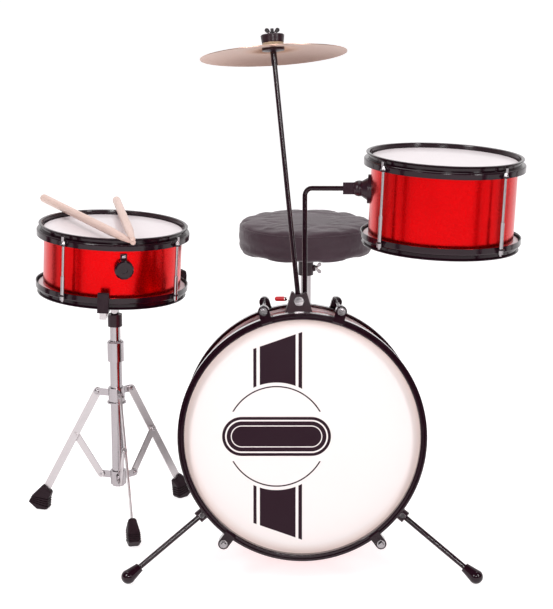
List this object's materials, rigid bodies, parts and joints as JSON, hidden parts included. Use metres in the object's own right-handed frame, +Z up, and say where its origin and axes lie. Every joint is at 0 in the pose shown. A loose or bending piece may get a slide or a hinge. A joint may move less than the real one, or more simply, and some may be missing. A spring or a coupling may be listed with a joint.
{
  "type": "acoustic drum kit",
  "caption": "Small acoustic drum kit: bass drum with pedal and arm-mounted tom, snare drum on a folding tripod stand, rod-mounted cymbal, round padded throne and drumsticks.",
  "frame": {"origin": "On the floor, under the middle of the whole kit.", "axes": "+Z is up and +Y points from the audience to the player; +X is to the right seen from the audience."},
  "size_m": [0.9176, 1.0472, 0.9341],
  "materials": {
    "red_wrap": "high-gloss metallic wrap",
    "hoop_black": "glossy",
    "head_white": "smooth film",
    "black_metal": "satin",
    "chrome": "polished",
    "bronze": "lathed",
    "felt": "pressed felt",
    "black_plastic": "ribbed",
    "red_grip": "glossy",
    "rubber": "matt",
    "vinyl": "soft matt vinyl over foam",
    "board": "plywood",
    "maple": "smooth lacquered"
  },
  "bodies": {
    "drum": {"bass_shell": "red_wrap", "bass_hoops": "hoop_black", "bass_front_head": "head_white", "bass_batter_head": "head_white", "bass_claws": "black_metal", "bass_tension_rods": "chrome", "spur_brackets": "black_metal", "clamp_bolts": "chrome", "rod_holder": "black_metal", "pedal_frame": "black_metal"},
    "spur_l": {"spur_left": "black_metal"},
    "spur_r": {"spur_right": "black_metal"},
    "holder_lever": {"holder_screw": "red_grip"},
    "cymbal_arm": {"cymbal_rod": "black_metal", "cymbal_cups": "black_metal", "cymbal_felts": "felt"},
    "cymbal_plate": {"cymbal": "bronze"},
    "wing_nut": {"cymbal_wing_nut": "chrome"},
    "arm": {"tom_arm": "black_metal"},
    "tom": {"tom_clamp": "black_metal", "tom_shell": "red_wrap", "tom_hoops": "hoop_black", "tom_heads": "head_white", "tom_tension_rods": "chrome"},
    "tom_wing": {"tom_clamp_screw": "chrome"},
    "stand": {"stand_tube": "chrome", "stand_collar": "chrome"},
    "collar_wing": {"stand_collar_screw": "chrome"},
    "upper": {"stand_upper_tube": "chrome", "tilter_sleeve": "black_metal"},
    "basket": {"basket_arms": "chrome", "basket_pads": "rubber"},
    "snare": {"snare_shell": "red_wrap", "snare_hoops": "hoop_black", "snare_heads": "head_white", "snare_tension_rods": "chrome", "snare_wires": "chrome", "snare_strainer": "black_metal"},
    "knob": {"strainer_knob": "black_plastic"},
    "stick_a": {"stick_lower": "maple"},
    "stick_b": {"stick_upper": "maple"},
    "hub": {"stand_hub": "chrome"},
    "leg_f": {"stand_leg_front": "chrome", "stand_boot_front": "rubber"},
    "leg_r": {"stand_leg_right": "chrome", "stand_boot_right": "rubber"},
    "leg_l": {"stand_leg_left": "chrome", "stand_boot_left": "rubber"},
    "strut_f": {"stand_strut_front": "chrome"},
    "strut_r": {"stand_strut_right": "chrome"},
    "strut_l": {"stand_strut_left": "chrome"},
    "throne": {"throne_base": "chrome", "throne_feet": "rubber"},
    "post": {"throne_post": "chrome"},
    "seat": {"throne_cushion": "vinyl", "throne_seat_board": "board", "throne_clamp": "black_metal"},
    "seat_wing": {"throne_clamp_screw": "chrome"},
    "footboard": {"pedal_footboard": "black_plastic"},
    "beater": {"pedal_beater": "chrome"}
  },
  "joints": [
    {"name": "spur_l_slide", "type": "slide", "parent": "drum", "child": "spur_l", "axis": [0.7602, 0.3067, 0.5728], "range_m": [0, 0.1]},
    {"name": "spur_r_slide", "type": "slide", "parent": "drum", "child": "spur_r", "axis": [-0.7602, 0.3067, 0.5728], "range_m": [0, 0.1]},
    {"name": "holder_lever_turn", "type": "hinge", "parent": "drum", "child": "holder_lever", "pos_m": [0.05615, -0.31045, 0.4615], "axis": [-1, 0, 0], "continuous": true},
    {"name": "cymbal_height", "type": "slide", "parent": "drum", "child": "cymbal_arm", "axis": [-0.1011, 0.1642, 0.9812], "range_m": [-0.09, 0.03]},
    {"name": "cymbal_spin", "type": "hinge", "parent": "cymbal_arm", "child": "cymbal_plate", "pos_m": [0.0197, -0.24526, 0.89347], "axis": [-0.061, 0.2351, 0.97], "continuous": true},
    {"name": "cymbal_nut_turn", "type": "hinge", "parent": "cymbal_arm", "child": "wing_nut", "pos_m": [0.0197, -0.24526, 0.89347], "axis": [-0.061, 0.2351, 0.97], "continuous": true},
    {"name": "tom_arm_swing", "type": "hinge", "parent": "drum", "child": "arm", "pos_m": [0.07565, -0.34167, 0.23252], "axis": [0, 0.165, 0.9863], "range_deg": [-40, 40]},
    {"name": "tom_tilt", "type": "hinge", "parent": "arm", "child": "tom", "pos_m": [0.17021, -0.3207, 0.66245], "axis": [0.8829, -0.463, 0.0775], "range_deg": [-15, 15]},
    {"name": "tom_screw_turn", "type": "hinge", "parent": "tom", "child": "tom_wing", "pos_m": [0.15651, -0.30201, 0.65933], "axis": [0.4695, 0.8708, -0.1457], "continuous": true},
    {"name": "stand_place", "type": "slide", "parent": "drum", "child": "stand", "axis": [-1, 0, 0], "range_m": [0, 0.3]},
    {"name": "collar_screw_turn", "type": "hinge", "parent": "stand", "child": "collar_wing", "pos_m": [-0.27869, -0.14225, 0.318], "axis": [-0.0872, 0.9962, 0], "continuous": true},
    {"name": "stand_height", "type": "slide", "parent": "stand", "child": "upper", "axis": [0, 0, 1], "range_m": [0, 0.1]},
    {"name": "basket_tilt", "type": "hinge", "parent": "upper", "child": "basket", "pos_m": [-0.27675, -0.16447, 0.407], "axis": [0, 1, 0], "range_deg": [-10, 10]},
    {"name": "snare_lift", "type": "slide", "parent": "basket", "child": "snare", "axis": [0.0488, -0.0052, 0.9988], "range_m": [0, 0.15]},
    {"name": "strainer_turn", "type": "hinge", "parent": "snare", "child": "knob", "pos_m": [-0.2486, -0.28897, 0.51187], "axis": [0.2329, -0.9724, -0.0165], "continuous": true},
    {"name": "stick_lower_lift", "type": "slide", "parent": "snare", "child": "stick_a", "axis": [0, 0, 1], "range_m": [0, 0.15]},
    {"name": "stick_upper_lift", "type": "slide", "parent": "stick_a", "child": "stick_b", "axis": [0, 0, 1], "range_m": [0, 0.15]},
    {"name": "hub_slide", "type": "slide", "parent": "stand", "child": "hub", "axis": [0, 0, 1], "range_m": [0, 0.03]},
    {"name": "leg_f_fold", "type": "hinge", "parent": "hub", "child": "leg_f", "pos_m": [-0.26793, -0.20092, 0.246], "axis": [0.972, 0.2351, 0], "range_deg": [0, 26]},
    {"name": "strut_f_fold", "type": "hinge", "parent": "stand", "child": "strut_f", "pos_m": [-0.26828, -0.19946, 0.08], "axis": [0.972, 0.2351, 0], "range_deg": [-30, 0]},
    {"name": "leg_r_fold", "type": "hinge", "parent": "hub", "child": "leg_r", "pos_m": [-0.24959, -0.13861, 0.246], "axis": [-0.6896, 0.7242, 0], "range_deg": [0, 26]},
    {"name": "strut_r_fold", "type": "hinge", "parent": "stand", "child": "strut_r", "pos_m": [-0.25068, -0.13964, 0.08], "axis": [-0.6896, 0.7242, 0], "range_deg": [-30, 0]},
    {"name": "leg_l_fold", "type": "hinge", "parent": "hub", "child": "leg_l", "pos_m": [-0.31272, -0.15388, 0.246], "axis": [-0.2823, -0.9593, 0], "range_deg": [0, 26]},
    {"name": "strut_l_fold", "type": "hinge", "parent": "stand", "child": "strut_l", "pos_m": [-0.31128, -0.15431, 0.08], "axis": [-0.2823, -0.9593, 0], "range_deg": [-30, 0]},
    {"name": "throne_place", "type": "slide", "parent": "drum", "child": "throne", "axis": [0, 1, 0], "range_m": [0, 0.3]},
    {"name": "throne_height", "type": "slide", "parent": "throne", "child": "post", "axis": [0, 0, 1], "range_m": [0, 0.12]},
    {"name": "seat_spin", "type": "hinge", "parent": "post", "child": "seat", "pos_m": [0.08775, 0.31963, 0.4], "axis": [0, 0, 1], "continuous": true},
    {"name": "seat_screw_turn", "type": "hinge", "parent": "seat", "child": "seat_wing", "pos_m": [0.10805, 0.31963, 0.38], "axis": [1, 0, 0], "continuous": true},
    {"name": "footboard_press", "type": "hinge", "parent": "drum", "child": "footboard", "pos_m": [0.06965, 0.07163, 0.016], "axis": [1, 0, 0], "range_deg": [0, 9], "stiffness_Nm_per_rad": 4, "springref_deg": -20.05},
    {"name": "beater_swing", "type": "hinge", "parent": "drum", "child": "beater", "pos_m": [0.06965, -0.15637, 0.128], "axis": [1, 0, 0], "range_deg": [0, 44]}
  ],
  "couplings": [
    {"joint": "strut_f_fold", "follows": "leg_f_fold", "ratio": -1.1458},
    {"joint": "strut_r_fold", "follows": "leg_f_fold", "ratio": -1.1458},
    {"joint": "leg_r_fold", "follows": "leg_f_fold", "ratio": 1},
    {"joint": "strut_l_fold", "follows": "leg_f_fold", "ratio": -1.1458},
    {"joint": "leg_l_fold", "follows": "leg_f_fold", "ratio": 1},
    {"joint": "hub_slide", "follows": "leg_f_fold", "m_per_rad": 0.0594},
    {"joint": "beater_swing", "follows": "footboard_press", "ratio": 4.8}
  ]
}
